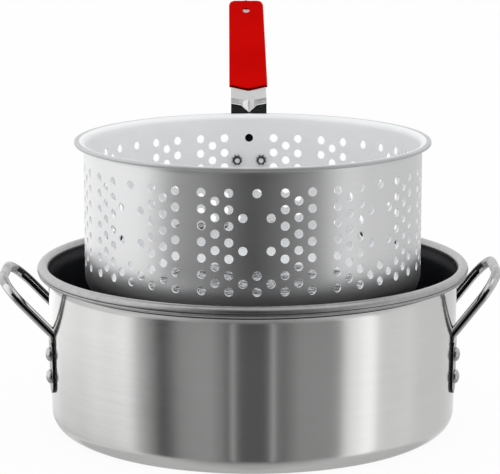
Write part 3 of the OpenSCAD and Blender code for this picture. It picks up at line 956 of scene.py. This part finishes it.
def strap():
    """A flat bar in the plane of the basket's axis: up the wall, out over the jog, up to the bend
    and along the slope. Towards its sides the wall part lies further in and the slope higher,
    which makes the bend a shallow V. Both faces lie half a thickness from that middle surface, and
    a V groove across the bend's corner pushes both inward, which makes the pressed dart."""
    half_cols = 61
    u = np.concatenate([np.linspace(-1, 1, half_cols), np.linspace(1, -1, half_cols)])
    face = np.repeat([1.0, -1.0], half_cols)
    off = np.sqrt((u * STRAP_HALF_W) ** 2 + CREASE ** 2) - CREASE
    inset = off * tan(PANEL_ANGLE)
    y_in = STRAP_IN + STRAP_T / 2 - inset
    y_up = STRAP_UP + STRAP_T / 2 - inset
    lean, rise = cos(STRAP_ANGLE), sin(STRAP_ANGLE)
    fold = FOLD_Z + (off * tan(TROUGH_ANGLE) + STRAP_T / 2 * (rise - 1) - inset * rise) / lean
    reach = STRAP_L - 1 * MM
    corners = np.stack([
        np.stack(np.broadcast_arrays(y, z), 1) for y, z in (
            (y_in, SCREW_Z - STRAP_FOOT), (y_in, JOG_LOW_Z), (y_up, JOG_HIGH_Z), (y_up, fold),
            (y_up + reach * lean, fold + reach * rise))
    ], 1)
    middle, bends = bent_lines(
        corners, [JOG_BEND_R, JOG_BEND_R, STRAP_BEND_R], [20, 20, 26, 150], 12)
    tangent = unit(np.gradient(middle, axis=0))
    normal = np.stack([-tangent[..., 1], tangent[..., 0]], -1)
    plane = middle + normal * (face * STRAP_T / 2)[:, None]
    past = np.clip((plane[..., 0] - y_up) / lean / STRAP_L, 0, 1)
    a = u * (STRAP_HALF_W - STRAP_NARROWING * past)

    corner = np.array([STRAP_UP, FOLD_Z])
    low_end = corner - [0, DART_DROP]
    groove = unit(corner + np.array([lean, rise]) * DART_REACH - low_end)
    inward = np.array([groove[1], -groove[0]])
    depth = (low_end - corner) @ inward
    sheet = STRAP_T / cos(np.arctan2(depth, DART_HALF_W)) * (face < 0)
    gap = sheet - depth * np.abs(a) / DART_HALF_W - (plane - low_end) @ inward
    pressed = (gap + np.sqrt(gap ** 2 + DART_SOFT ** 2)) / 2 * smoothstep(-DART_FADE, 0, gap)
    plane += pressed[..., None] * inward

    points = placed_in_basket(np.concatenate([a[..., None], plane], -1))
    rows, cols = points.shape[:2]
    row = np.arange(rows - 1)[:, None] - bends[2]
    pressed = pressed[:-1]
    front = face > 0
    flat = front & (pressed < DART_SHALLOW)
    shaded_patch = (np.abs(u) > SHADE_SIDE) | (np.abs(u) < SHADE_MIDDLE)
    glint = np.abs(u - GLINT_AT) < GLINT_HALF_W
    dark, painted_highlight, painted_light, smear_and_shading = range(1, 5)
    finish = face_finishes(
        (rows - 1, cols),
        # Painted light: the strap's upper face in flat light grey, in place of its bright
        # reflection
        (front, painted_light),
        # Painted shade: soft darker patches at the sides and along the middle, up to a little
        # above the bend
        (front & shaded_patch & (row < SHADE_ROWS), smear_and_shading),
        # Painted highlight: the white line along the bend
        (flat & (row < HIGHLIGHT_ROWS), painted_highlight),
        # Painted dark reflection: the front face below the bend, in near-black chrome
        (flat & (row < DARK_ROWS), dark),
        # Painted highlight: a glint on one facet of the dart
        (front & glint & (pressed > DART_DEEP), painted_highlight))
    ring = np.arange(half_cols - 1)
    end = np.stack([ring, ring + 1, cols - 2 - ring, cols - 1 - ring], 1)
    faces = [grid_quads(rows, cols)[:, ::-1], end, end[:, ::-1] + (rows - 1) * cols]
    bar = make_mesh(
        "basket_strap", points.reshape(-1, 3), faces,
        [CHROME, DARK_REFLECTION_CHROME, HIGHLIGHT_PLATE, PAINTED_LIGHT_PLATE, SMEAR_AND_PAINTED_SHADING],
        [finish, np.zeros(2 * len(end))], sharp=32)
    add_piece(bar, "basket", "chrome", "basket_handle")


def grip():
    """A dipped sleeve: its outline runs from a shallow point at the lower end to round corners at
    the top, its two faces follow the strap's trough, and its edges are rounded over."""
    half_t = STRAP_T / 2 + VINYL_T
    length = STRAP_L + VINYL_T
    cols, rows = 40, 108
    u = np.linspace(-1, 1, cols + 1)
    s = np.linspace(0, 1, rows + 1)[:, None]

    def outline(inset, b):
        """Plan points of the sleeve at a given inset from its edge, at height b. The lower end
        runs out to a lip on the strap, and slants back below it."""
        above = b - STRAP_T / 2
        slant = max(LIP_SLOPE * above, LIP_UNDERCUT * above) - LIP
        low = GRIP_START - DIP_RUN + GRIP_POINT * np.abs(u) ** 1.3 + slant
        drip = DRIP * np.exp(-((u * STRAP_END_HALF_W / DRIP_HALF_W) ** 2))
        top = length - inset + (GRIP_CROWN - DRIP) * (1 - np.abs(u)) + drip
        run = low + s * (top - low)
        r = max(GRIP_CORNER_R - inset, GRIP_CORNER_MIN_R)
        near_top = np.clip((run - (top - r)) / r, 0, 1)
        width = STRAP_HALF_W + VINYL_T - STRAP_NARROWING * run / STRAP_L - inset
        width -= r * (1 - np.sqrt(np.clip(1 - near_top ** 2, 0, 1)))
        return np.stack([u * width, run], -1)

    def raised(plan, b):
        lift = tan(TROUGH_ANGLE) * (np.sqrt(plan[..., :1] ** 2 + CREASE ** 2) - CREASE)
        return np.concatenate([plan, b + lift - STRAP_T / 2], -1)

    def rim(points):
        return np.vstack([points[0, :-1], points[:-1, -1], points[-1, :0:-1], points[:0:-1, 0]])

    angles = np.radians([0, 22, 45, 68, 90])
    upper = [(GRIP_EDGE * (1 - cos(t)), half_t - GRIP_EDGE * (1 - sin(t))) for t in angles]
    layers = [(inset, -b) for inset, b in upper[::-1]] + upper
    rims = [rim(raised(outline(inset, b), b)) for inset, b in layers]
    loop = len(rims[0])
    hole_sides = 24
    hang = np.array([0, HANG_S])

    def broad_face(b):
        """One broad face: the edge ring, the hanging hole's circle and inner grid points,
        triangulated in plan and raised to the trough."""
        plan = outline(GRIP_EDGE, b)
        within = plan[3:-3:3, 2:-2:2].reshape(-1, 2)
        within = within[np.linalg.norm(within - hang, axis=1) > HANG_R * 1.5]
        plan_points = np.vstack([rim(plan), hang + circle(HANG_R, hole_sides), within])
        loops = [list(range(loop)), list(range(loop, loop + hole_sides))[::-1]]
        triangles = triangulated(plan_points, loops, hang[None], HANG_CLEARANCE)
        return raised(plan_points, b)[loop:], triangles

    top_points, top_triangles = broad_face(half_t)
    low_points, low_triangles = broad_face(-half_t)
    top_start = len(rims) * loop
    low_start = top_start + len(top_points)

    def numbered(triangles, ring_start, inner_start):
        return np.where(triangles < loop, triangles + ring_start, triangles - loop + inner_start)

    k = np.arange(hole_sides)
    following = (k + 1) % hole_sides
    faces = [
        grid_quads(len(rims), loop),
        np.stack([top_start + k, top_start + following, low_start + following, low_start + k], 1),
        numbered(top_triangles, top_start - loop, top_start),
        numbered(low_triangles, 0, low_start)[:, ::-1],
    ]
    lean, rise = cos(STRAP_ANGLE), sin(STRAP_ANGLE)
    axes = np.array([[1, 0, 0], [0, lean, rise], [0, -rise, lean]])
    points = np.vstack([*rims, top_points, low_points]) @ axes + [0, STRAP_UP, FOLD_Z]
    sleeve = make_mesh("vinyl_grip", placed_in_basket(points), faces, [VINYL], sharp=45)
    add_piece(sleeve, "basket", "red_vinyl", "grip")


def dress_fasteners():
    """The screws, star washers and nuts keep their own solids."""
    kinds = (("screw", SCREW_METAL), ("lock_washer", WASHER_METAL), ("nut", SHADED_NUT_METAL))
    for kind, finish in kinds:
        for side in ("left", "right"):
            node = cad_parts[f"{kind}_{side}"]
            node.data.materials.clear()
            node.data.materials.append(finish)


pot()
for handle_side in (-1, 1):
    pot_handle(handle_side)
for side_name, side in (("left", -1), ("right", 1)):
    for leg_name, leg in (("front", -1), ("back", 1)):
        for row_name, row in (("upper", 1), ("lower", 0)):
            rivet(f"rivet_{side_name}_{leg_name}_{row_name}", side, leg, row)
basket()
strap()
grip()
dress_fasteners()


# -------- studio

FLOOR_REACH = 6.0
ROOM_LEVEL = 0.9
LAMP_PLACE = (0.3, -0.5, 1.8)
LAMP_AIM = (0.0, 0.0, 0.1)
LAMP_SIZE = 2.0
LAMP_WATTS = 5.0
CAMERA_PLACE = (-0.00225, -1.9629, 0.5460)
CAMERA_DOWN = radians(11.229)
CAMERA_LENS = 175.16
CAMERA_SENSOR = 36.0

# Level of the surroundings at each angle round from the front, in degrees, right positive
LEFT_PANELS = [
    (-180, 0.95), (-165, 0.92), (-151, 0.90), (-146, 0.87), (-138, 0.80), (-112, 0.78),
    (-98, 0.86), (-88, 0.82), (-80, 0.88), (-75, 0.90), (-71, 0.70), (-67, 0.42), (-62, 0.23),
    (-57, 0.10), (-53, 0.0), (-50, 0.0), (-46, 0.06), (-41, 0.16), (-34, 0.20), (-24, 0.22),
    (-17, 0.14), (-14, 0.06), (-12.5, 0.12), (-11.5, 0.29), (-10.5, 0.29), (-9.5, 0.10),
    (-6, 0.025), (0, 0.02),
]
RIGHT_PANELS = [
    (0, 0.02), (6, 0.02), (9.5, 0.08), (10.5, 0.30), (12, 0.30), (13, 0.10), (18, 0.08),
    (22, 0.13), (26, 0.18), (44, 0.18), (49, 0.25), (52, 0.48), (56, 0.70), (61, 0.80),
    (65, 0.92), (69, 0.96), (72, 0.88), (75, 0.64), (80, 0.58), (90, 0.58), (98, 0.60),
    (108, 0.53), (134, 0.53), (150, 0.60), (180, 0.80),
]

# Level of what lies above and below that band of panels
OUTER_PANELS = [
    (-180, 1.0), (-75, 1.0), (-62, 0.92), (-45, 0.58), (-28, 0.2), (-12, 0.0), (12, 0.0),
    (28, 0.22), (45, 0.38), (60, 0.52), (90, 0.6), (130, 0.75), (180, 0.95),
]

# By height, from 0 straight down, over 0.5 level, to 1 straight up: the share of the panels, the
# level of the ground in front, and that of the panels at the far left
PANEL_SHARE = [(0.22, 0.0), (0.29, 1.0), (0.42, 1.0), (0.47, 0.0)]
NEAR_GROUND = [(0.0, 0.34), (0.08, 0.33), (0.22, 0.14), (0.31, 0.03)]
LEFT_FADE = [(0.36, 0.45), (0.395, 0.96), (0.41, 0.80)]
LEFT_GAIN = 1.38
SIDE_GROUND = 0.42
OVERHEAD = 0.2
GROUND_FROM, GROUND_FULL = 0.30, 0.22

# By the angle from the front, as a share of half a turn: the fade on the left, the side ground
FADE_FROM, FADE_FULL = 0.34, 0.42
SIDE_FROM, SIDE_FULL = 0.08, 0.32

# By the cosine to the way to the dark spot overhead, which leans back by 15 degrees
SPOT_Y, SPOT_Z = 0.26, 0.966
SPOT_FROM, SPOT_FULL = 0.86, 0.93


def studio_floor():
    """A plain pale floor, white to the camera and with a faint shadow. Metal looks through it, to
    the surroundings below."""
    paint = Paint(
        "floor_paint", base_color=grey(ROOM_LEVEL), roughness=0.9, specular_ior_level=0.1)
    glow = paint.node("ShaderNodeEmission", values={"Color": grey(1.0), "Strength": 1.0})
    clear = paint.node("ShaderNodeBsdfTransparent")
    seen = paint.node("ShaderNodeMixShader", values=[
        paint.source("ShaderNodeLightPath", "Is Camera Ray") * 0.94,
        Wire(paint, paint.shader.outputs[0]), glow])
    mix = paint.node("ShaderNodeMixShader", values=[
        paint.source("ShaderNodeLightPath", "Is Glossy Ray"), seen, clear])
    paint.plug(paint.tree.nodes["Material Output"].inputs["Surface"], mix)
    square = np.array([[-1, -1, 0], [1, -1, 0], [1, 1, 0], [-1, 1, 0]]) * FLOOR_REACH
    floor = make_mesh("studio_floor", square, [np.array([[0, 1, 2, 3]])], [paint.material])


class WorldPaint(Paint):
    """The world's node tree, with the direction that a ray takes."""

    def __init__(self, name):
        world = bpy.data.worlds.new(name)
        bpy.context.scene.world = world
        world.use_nodes = True
        self.tree = world.node_tree
        self.tree.nodes.clear()
        self.place = self.source("ShaderNodeTexCoord", "Generated")

    def curve(self, value, stops):
        """A level that runs straight between (place, level) stops, with places between 0 and 1."""
        node = self.tree.nodes.new("ShaderNodeValToRGB")
        self.plug(node.inputs[0], value)
        elements = node.color_ramp.elements
        while len(elements) < len(stops):
            elements.new(0.5)
        for element, (place, level) in zip(elements, stops):
            element.position = place
            element.color = grey(level)
        return Wire(self, node.outputs[0])


def studio_world():
    """Soft even light for matt surfaces and white behind the object. Metal sees a band of upright
    panels of unlike brightness round about, softer ones above and below it, dark in front, a grey
    ground and a dark spot overhead."""
    sky = WorldPaint("studio")
    x, y, z = sky.split(sky.place)
    around = sky.node("ShaderNodeMath", {"operation": "ARCTAN2"}, [x, y * -1.0]) / pi
    height = (z * 0.5 + 0.5).clamp()

    def by_angle(value, panels, offset, span):
        """The curve of a value that is the offset in front and grows by 1 over the span."""
        return sky.curve(value, [(angle / span + offset, level) for angle, level in panels])

    left = by_angle(around + 1.0, LEFT_PANELS, 1, 180)
    right = by_angle(around, RIGHT_PANELS, 0, 180)
    outer = by_angle(around * 0.5 + 0.5, OUTER_PANELS, 0.5, 360)
    panels = left + right - LEFT_PANELS[-1][1]
    fade = sky.curve(height, LEFT_FADE) * LEFT_GAIN
    panels = panels * sky.blend((around * -1.0).ramp(FADE_FROM, FADE_FULL), grey(1.0), fade)
    near_ground = sky.curve(height, NEAR_GROUND)
    aside = around.absolute().ramp(SIDE_FROM, SIDE_FULL)
    ground = sky.blend(aside, near_ground, grey(SIDE_GROUND))
    spot = (z * SPOT_Z + y * SPOT_Y).ramp(SPOT_FROM, SPOT_FULL)
    outer = sky.blend(spot, outer, grey(OVERHEAD))
    outer = sky.blend(height.ramp(GROUND_FROM, GROUND_FULL), outer, ground)
    metal = sky.blend(sky.curve(height, PANEL_SHARE), outer, panels)
    room = sky.blend(
        sky.source("ShaderNodeLightPath", "Is Glossy Ray"), grey(ROOM_LEVEL), metal)
    seen = sky.blend(sky.source("ShaderNodeLightPath", "Is Camera Ray"), room, grey(1.0))
    light = sky.node("ShaderNodeBackground", values={"Color": seen})
    out = sky.tree.nodes.new("ShaderNodeOutputWorld")
    sky.plug(out.inputs["Surface"], light)


def studio_lamp():
    """One soft square lamp above, turned to its aim point."""
    data = bpy.data.lights.new("top_lamp", "AREA")
    data.size = LAMP_SIZE
    data.energy = LAMP_WATTS
    lamp = new_object("top_lamp", data)
    lamp.location = LAMP_PLACE
    way = Vector(LAMP_AIM) - Vector(LAMP_PLACE)
    lamp.rotation_euler = way.to_track_quat("-Z", "Y").to_euler()


def camera():
    """Looks at the front from a little above."""
    data = bpy.data.cameras.new("camera")
    data.sensor_width = CAMERA_SENSOR
    data.lens = CAMERA_LENS
    data.clip_end = 50.0
    eye = new_object("camera", data)
    eye.location = CAMERA_PLACE
    eye.rotation_euler = (pi / 2 - CAMERA_DOWN, 0.0, 0.0)
    bpy.context.scene.camera = eye


studio_floor()
studio_world()
studio_lamp()
camera()
bpy.context.scene.view_settings.view_transform = "Standard"
